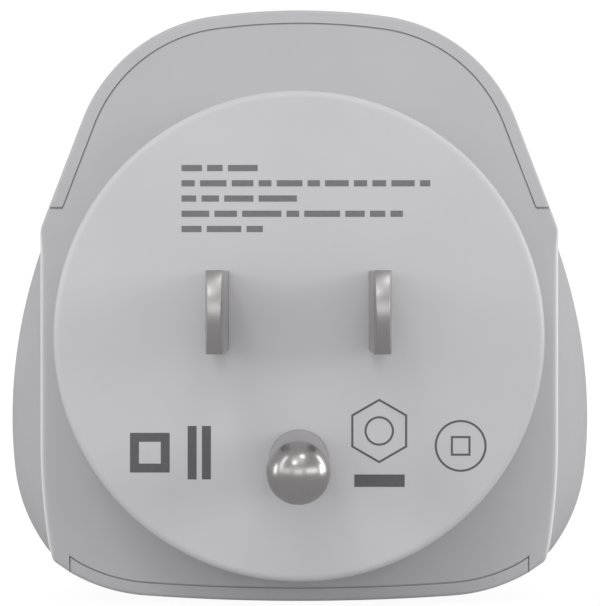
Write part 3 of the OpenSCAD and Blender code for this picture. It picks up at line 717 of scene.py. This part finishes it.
def seam_floors():
    """Solids that close the seam and the slits a little below the surface."""
    touch = 0.01
    step = 0.03
    flange = inset(OUTLINE, LIP_T + touch)
    floors = [prism("flange", flange, BACK_PLANE + SEAM_DEPTH, COVER_FRONT - touch)]

    lean = math.radians(SIDE_SLOPE)
    side = SIDE_X - step / math.cos(lean)
    lower, upper = LIP_END_Z - SLIT.y - touch, LIP_END_Z - touch
    side_slit = [
        Vector((LIP_END_X - touch, lower)),
        Vector((side - (lower - CORNER_Z) * math.tan(lean), lower)),
        Vector((side - (upper - CORNER_Z) * math.tan(lean), upper)),
        Vector((LIP_END_X - touch, upper)),
    ]

    near, into_cover = 0.3, 0.2
    foot = min(p.y for p in OUTLINE if abs(p.x - LIP_END_X) < near)
    left = LIP_END_X + touch
    bottom_slit = rectangle((left, left + SLIT.x), (foot + step, foot + LIP_T + into_cover))

    for outline in (side_slit, bottom_slit):
        for half in (outline, mirrored(outline)):
            floors.append(prism("slit_floor", half, BACK_PLANE + SLIT_DEPTH, CHEEK_END - touch))
    return floors


def make_rear_cover():
    """The back plate, with a cheek at each side that runs out to the outer surface."""
    plate = inset(OUTLINE, LIP_T + SEAM)
    mesh = outer_body("rear_cover_shell", CHEEK_END)
    x, z = LIP_END_X + SLIT.x, LIP_END_Z - SLIT.y
    above_lip_z = -15
    top = rectangle((-FAR, FAR), (z, FAR))
    bottom = rectangle((-x, x), (-FAR, above_lip_z))
    for outline in (top, bottom):
        lip = cut(
            prism("lip_space", outline, BACK_PLANE - 1, COVER_FRONT),
            prism("plate", plate, BACK_PLANE - 2, COVER_FRONT + 1),
        )
        mesh = cut(mesh, lip, prism("open", outline, COVER_FRONT, CHEEK_END + 1))
    mesh = cut(mesh, prism("inside", inset(OUTLINE, WALL), COVER_FRONT, CHEEK_END + 1))
    mesh = join(mesh, *seam_floors())
    for side in (1, -1):
        mesh = cut(mesh, prism("blade_way", blade_outline(side, 0.2), BACK_PLANE - 1, COVER_FRONT + 1))
    piece = make_piece("cover_shell", mesh, COVER)
    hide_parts("rear_cover")


def make_disc():
    """The round disc, hollow at its back, with close-fitting holes for the pins."""
    face_t, rim_t = 2.5, 2.0
    section = [(0, 0)]
    section += [(p.x, p.y) for p in arc((DISC_R - DISC_EDGE_R, -DISC_EDGE_R), DISC_EDGE_R, 90, 0, 12)]
    inner_r = DISC_R - rim_t
    section += [(DISC_R, -BACK_PLANE), (inner_r, -BACK_PLANE), (inner_r, -face_t), (0, -face_t)]
    mesh = lathe("plug_disc_shell", section, (0, DISC_Z), 256)
    gap = 0.01
    for side in (1, -1):
        mesh = cut(mesh, prism("way", blade_outline(side, gap), -1, face_t + 1))
    bore = [(0, 1), (PIN_R + gap, 1), (PIN_R + gap, -face_t - 1), (0, -face_t - 1)]
    mesh = cut(mesh, lathe("bore", bore, (0, PIN_Z), 96))
    piece = make_piece("disc_shell", mesh, DISC_PLASTIC)
    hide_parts("plug_disc")


# ---------------------------------------------------------------- pins


def softened(mesh, size, angle=25):
    """The mesh with a small rounding along its sharp edges."""
    work = bmesh.new()
    work.from_mesh(mesh)
    sharp = [e for e in work.edges if len(e.link_faces) == 2 and e.calc_face_angle() > math.radians(angle)]
    bmesh.ops.bevel(
        work, geom=sharp, offset=size * MM, offset_type="OFFSET", segments=4, profile=0.5,
        affect="EDGES", clamp_overlap=True,
    )
    work.to_mesh(mesh)
    work.free()
    return mesh


def make_blade(name, node, side):
    """A flat blade: thinned on its wide faces near the tip, and rounded over its height."""
    tip_len, tip_bevel, tip_depth, edge_r = 2.5, 0.2, 1.3, 0.06
    x, half_t, half_h = side * BLADE_X, BLADE_T / 2, BLADE_H / 2
    plan = [
        (x - half_t, PIN_ROOT), (x + half_t, PIN_ROOT), (x + half_t, BLADE_REACH - tip_len),
        (x + half_t - tip_bevel, BLADE_REACH), (x - half_t + tip_bevel, BLADE_REACH),
        (x - half_t, BLADE_REACH - tip_len),
    ]
    tip_r = (half_h**2 + tip_depth**2) / (2 * tip_depth)
    turn = math.degrees(math.asin(half_h / tip_r))
    profile = [Vector((PIN_ROOT, half_h)), Vector((PIN_ROOT, -half_h))]
    profile += arc((BLADE_REACH - tip_r, 0), tip_r, -turn, turn, 40)
    from_above = loft("plan", [[(*p, z) for p in plan] for z in (-BLADE_H, BLADE_H)])
    from_side = loft("profile", [[(end, *p) for p in profile] for end in (x - BLADE_T, x + BLADE_T)])
    mesh = softened(combined(from_above, from_side, "INTERSECT"), edge_r)
    piece = make_piece(name, mesh, NICKEL, sharp=40)
    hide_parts(node)


def make_earth_pin():
    """A round pin with a domed end and a fine turned line where the dome starts."""
    dome_y = PIN_REACH - PIN_R
    groove, groove_w = 0.035, 0.07
    section = [(0, PIN_ROOT), (PIN_R, PIN_ROOT), (PIN_R, dome_y - 2 * groove_w)]
    section += [(PIN_R - groove, dome_y - groove_w), (PIN_R, dome_y)]
    section += [(p.x, p.y) for p in arc((0, dome_y), PIN_R, 0, 90, 28)[1:]]
    mesh = lathe("earth_pin_shell", section, (0, PIN_Z), 128)
    piece = make_piece("earth_pin_shell", mesh, TURNED_NICKEL, sharp=25)
    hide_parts("earth_pin")


# ---------------------------------------------------------------- printed marks

PRINT_T = 0.012
PRINT_ROOT = 0.004


def stroke(points, width, closed=False):
    """A thin flat line of print on the disc's face through points [x, z], as the vertices
    and faces of a closed solid."""
    sharpest = 0.4
    count = len(points)
    verts = []
    for i, p in enumerate(points):
        before = points[i - 1] if i or closed else p
        after = points[(i + 1) % count] if i < count - 1 or closed else p
        a = (p - before).normalized() if (p - before).length else (after - p).normalized()
        b = (after - p).normalized() if (after - p).length else a
        normal = Vector((-(a + b).y, (a + b).x)).normalized()
        out = normal * width / 2 / max(normal.dot(Vector((-a.y, a.x))), sharpest)
        left, right = p + out, p - out
        verts += [(left.x, -PRINT_ROOT, left.y), (left.x, PRINT_T, left.y)]
        verts += [(right.x, PRINT_T, right.y), (right.x, -PRINT_ROOT, right.y)]
    faces = []
    for i in range(count if closed else count - 1):
        here, there = 4 * i, 4 * ((i + 1) % count)
        for k in range(4):
            n = (k + 1) % 4
            faces.append((here + k, here + n, there + n, there + k))
    if not closed:
        last = 4 * (count - 1)
        faces += [(0, 1, 2, 3), (last + 3, last + 2, last + 1, last)]
    return verts, faces


def printed(name, strokes, material):
    """One piece from several strokes."""
    verts, faces = [], []
    for more_verts, more_faces in strokes:
        start = len(verts)
        verts += more_verts
        faces += [tuple(start + i for i in face) for face in more_faces]
    make_piece(name, mesh_of(name, verts, faces), material)


def make_rating_lines():
    """Five rows of plain dashes where the rating plate's print is."""
    left, first_z, row_step, height = 9.45, 11.44, 1.225, 0.5
    lengths = (6.4, 20.0, 9.5, 17.8, 6.6)
    shortest, longest, space, least_left = 0.9, 3.2, 0.42, 0.4
    words = random.Random(7)
    strokes = []
    for row, length in enumerate(lengths):
        z = first_z - row * row_step
        x = left
        end = left - length
        while x > end + least_left:
            word = min(words.uniform(shortest, longest), x - end)
            strokes.append(stroke([Vector((x, z)), Vector((x - word, z))], height))
            x -= word + space
    printed("rating_dashes", strokes, FINE_INK)


def regular(at, r, sides, turn=0):
    """Corners of a regular polygon, or of a circle if it has many sides."""
    return [Vector(at) + r * unit(turn + 360 * i / sides) for i in range(sides)]


def make_marks():
    """Plain shapes in place of the approval marks: none stands for anything."""
    bold, bar_top, bar_bottom = 0.72, -9.3, -13.6
    bold_marks = [stroke(regular((12.0, -11.45), 1.75, 4, 45), bold, closed=True)]
    for x in (8.6, 7.45):
        bold_marks.append(stroke([Vector((x, bar_top)), Vector((x, bar_bottom))], bold))
    printed("bold_marks", bold_marks, INK)

    thin, bar_h = 0.17, 1.0
    hexagon_at, circle_at, bar_z = (-6.45, -9.7), (-13.0, -10.9), -13.7
    fine_marks = [
        stroke(regular(hexagon_at, 2.5, 6, 30), thin, closed=True),
        stroke(regular(hexagon_at, 1.1, 48), thin, closed=True),
        stroke([Vector((-4.45, bar_z)), Vector((-8.5, bar_z))], bar_h),
        stroke(regular(circle_at, 2.0, 64), thin, closed=True),
        stroke(regular(circle_at, 1.0, 4, 45), thin, closed=True),
    ]
    printed("fine_marks", fine_marks, INK)


# ---------------------------------------------------------------- spring


def make_spring():
    """The shutter's coil spring, drawn at one length; the real spring shortens as the shutter goes down.
    """
    wire_r, turns, per_turn, sides = 0.2, 12, 40, 10
    flat_turns, rise = 0.75, 0.001
    r = (SPRING_HIGH.x - SPRING_LOW.x) / 2 - wire_r
    centre_y = (SPRING_HIGH.y + SPRING_LOW.y) / 2
    bottom, top = SPRING_LOW.z + wire_r, SPRING_HIGH.z - wire_r
    steps = turns * per_turn
    rings = []
    for i in range(steps + 1):
        turn = unit(360 * i / per_turn)
        # The end turns lie flat, as closed spring ends do, but for a rise that keeps them apart
        share = min(max((i - per_turn * flat_turns) / (steps - 2 * per_turn * flat_turns), 0), 1)
        z = bottom + (top - bottom) * share + rise * (i / steps - 0.5)
        ring = []
        for k in range(sides):
            a = unit(360 * k / sides)
            out = r + wire_r * a.x
            ring.append((out * turn.x, centre_y + out * turn.y, z + wire_r * a.y))
        rings.append(ring)
    piece = make_piece("spring_coil", loft("spring_coil", rings), SPRING_STEEL, sharp=60)
    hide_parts("shutter_spring")
    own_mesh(piece)


# ---------------------------------------------------------------- CAD nodes that stay

NODE_MATERIALS = {
    "blade_rivets": BRASS,
    "line_contact": BRASS,
    "neutral_contact": BRASS,
    "earth_contact": BRASS,
    "fuse_clip": BRASS,
    "fuse_tube": CERAMIC,
    "fuse_caps": NICKEL,
    "contact_carrier": INNER,
    "shutter": SHUTTER,
    "shutter_frame": INNER,
    "disc_screws": STEEL,
    "carrier_screws": STEEL,
    "frame_screws": STEEL,
    "front_housing": CASING,
    "rear_cover": COVER,
    "plug_disc": DISC_PLASTIC,
    "line_blade": NICKEL,
    "neutral_blade": NICKEL,
    "earth_pin": TURNED_NICKEL,
    "shutter_spring": SPRING_STEEL,
}


def dress_cad_nodes():
    for name, material in NODE_MATERIALS.items():
        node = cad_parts[name]
        for material_slot in node.material_slots:
            material_slot.link = "OBJECT"
            material_slot.material = material


# ---------------------------------------------------------------- stage, light, camera

FLOOR_THROW = 0.42
FLOOR_GLOW = 0.11


def make_floor():
    """A pale floor that fades to white towards the horizon and throws little light back."""
    n = Nodes("pale_floor")
    n.link(n.colours(n.noise(3), (0.90, 0.90, 0.90), (0.93, 0.93, 0.93)), n.shader.inputs["Base Color"])
    n.shader.inputs["Roughness"].default_value = 0.9
    n.shader.inputs["Specular IOR Level"].default_value = 0.1
    n.shader.inputs["Emission Color"].default_value = (1, 1, 1, 1)
    n.shader.inputs["Emission Strength"].default_value = FLOOR_GLOW
    facing = n.add("ShaderNodeLayerWeight").outputs["Facing"]
    fade = n.add("ShaderNodeMapRange")
    for label, value in (("From Min", 0.78), ("From Max", 0.92), ("To Min", 0.0), ("To Max", 1.0)):
        fade.inputs[label].default_value = value
    n.link(facing, fade.inputs["Value"])
    white = n.add("ShaderNodeEmission")
    white.inputs["Strength"].default_value = 1.05
    near = n.add("ShaderNodeMixShader")
    n.link(fade.outputs["Result"], near.inputs["Fac"])
    n.link(n.shader.outputs["BSDF"], near.inputs[1])
    n.link(white.outputs["Emission"], near.inputs[2])
    dim = n.add("ShaderNodeBsdfDiffuse")
    dim.inputs["Color"].default_value = (FLOOR_THROW, FLOOR_THROW, FLOOR_THROW, 1)
    glow = n.add("ShaderNodeEmission")
    glow.inputs["Strength"].default_value = FLOOR_GLOW
    thrown = n.add("ShaderNodeAddShader")
    n.link(dim.outputs["BSDF"], thrown.inputs[0])
    n.link(glow.outputs["Emission"], thrown.inputs[1])
    path = n.add("ShaderNodeLightPath")
    seen = n.add("ShaderNodeMixShader")
    n.link(path.outputs["Is Camera Ray"], seen.inputs["Fac"])
    n.link(thrown.outputs["Shader"], seen.inputs[1])
    n.link(near.outputs["Shader"], seen.inputs[2])
    n.link(seen.outputs["Shader"], n.tree.nodes["Material Output"].inputs["Surface"])
    half = 3000
    z = BODY_BOTTOM - 0.02
    corners = [(-half, -half, z), (half, -half, z), (half, half, z), (-half, half, z)]
    mesh = mesh_of("floor", corners, [(0, 1, 2, 3)])
    floor = bpy.data.objects.new("floor", mesh)
    bpy.context.scene.collection.objects.link(floor)
    mesh.materials.append(n.material)


def area_light(name, at, target, size, watts):
    data = bpy.data.lights.new(name, "AREA")
    data.shape = "RECTANGLE"
    data.size, data.size_y = size
    data.energy = watts
    light = bpy.data.objects.new(name, data)
    bpy.context.scene.collection.objects.link(light)
    light.location = at
    light.rotation_euler = (Vector(target) - Vector(at)).to_track_quat("-Z", "Y").to_euler()


def make_world():
    """White to the camera, and a dimmer soft sky as light."""
    world = bpy.data.worlds.new("studio")
    bpy.context.scene.world = world
    world.use_nodes = True
    tree = world.node_tree
    tree.nodes.clear()
    out = tree.nodes.new("ShaderNodeOutputWorld")
    mix = tree.nodes.new("ShaderNodeMixShader")
    seen = tree.nodes.new("ShaderNodeBackground")
    lit = tree.nodes.new("ShaderNodeBackground")
    path = tree.nodes.new("ShaderNodeLightPath")
    seen.inputs["Color"].default_value = (1, 1, 1, 1)
    seen.inputs["Strength"].default_value = 1.05
    lit.inputs["Color"].default_value = (1, 1, 1, 1)
    lit.inputs["Strength"].default_value = 0.5
    tree.links.new(path.outputs["Is Camera Ray"], mix.inputs["Fac"])
    tree.links.new(lit.outputs["Background"], mix.inputs[1])
    tree.links.new(seen.outputs["Background"], mix.inputs[2])
    tree.links.new(mix.outputs["Shader"], out.inputs["Surface"])


def soft_box(name, azimuth, elevation, size, radiance):
    """A rectangular light a metre away. Azimuth 0 is the way the pins point, and it
    grows towards +X."""
    a, e = math.radians(azimuth), math.radians(elevation)
    at = (math.cos(e) * math.sin(a), math.cos(e) * math.cos(a), math.sin(e))
    area_light(name, at, (0, 0, 0), size, math.pi * size[0] * size[1] * radiance)


def make_lights():
    """Soft boxes that add to a dim even sky, with small bright ones for the pins' highlights."""
    soft_box("front", 0, 5, (0.5, 0.3), 0.95)
    soft_box("front_low", 0, 12, (1.4, 0.4), 0.45)
    soft_box("left_low", 52, 9, (0.78, 0.26), 0.95)
    soft_box("right_low", -52, 9, (0.78, 0.26), 1.75)
    soft_box("high_front", 0, 50, (0.7, 0.5), 0.6)
    soft_box("key_right", -27, 63, (0.2, 0.18), 5.2)
    soft_box("key_left", 17, 39, (0.2, 0.16), 5.4)
    soft_box("left_streak", 69, 35, (0.12, 0.7), 3.4)
    soft_box("right_streak", -109, 20, (0.15, 0.7), 4.8)
    soft_box("left_side", 92, 9, (0.06, 0.36), 13)
    soft_box("right_side", -92, 9, (0.06, 0.36), 17)


def make_camera():
    """Square on to the plug's face, a little above the blades."""
    distance, height = 0.260, 0.00244
    sensor, focal = 36.0, 192.1
    down, left, aside = 0.4075, 0.115, -0.0006
    data = bpy.data.cameras.new("camera")
    data.sensor_width = sensor
    data.lens = focal
    data.clip_start = 0.01
    data.clip_end = 20
    camera = bpy.data.objects.new("camera", data)
    bpy.context.scene.collection.objects.link(camera)
    camera.location = (aside, distance, height)
    camera.rotation_euler = (math.radians(90 - down), 0, math.radians(180 + left))
    bpy.context.scene.camera = camera


bpy.context.scene.view_settings.view_transform = "Standard"
dress_cad_nodes()
make_front_housing()
make_rear_cover()
make_disc()
make_blade("line_blade_shell", "line_blade", 1)
make_blade("neutral_blade_shell", "neutral_blade", -1)
make_earth_pin()
make_rating_lines()
make_marks()
make_spring()
make_floor()
make_world()
make_lights()
make_camera()
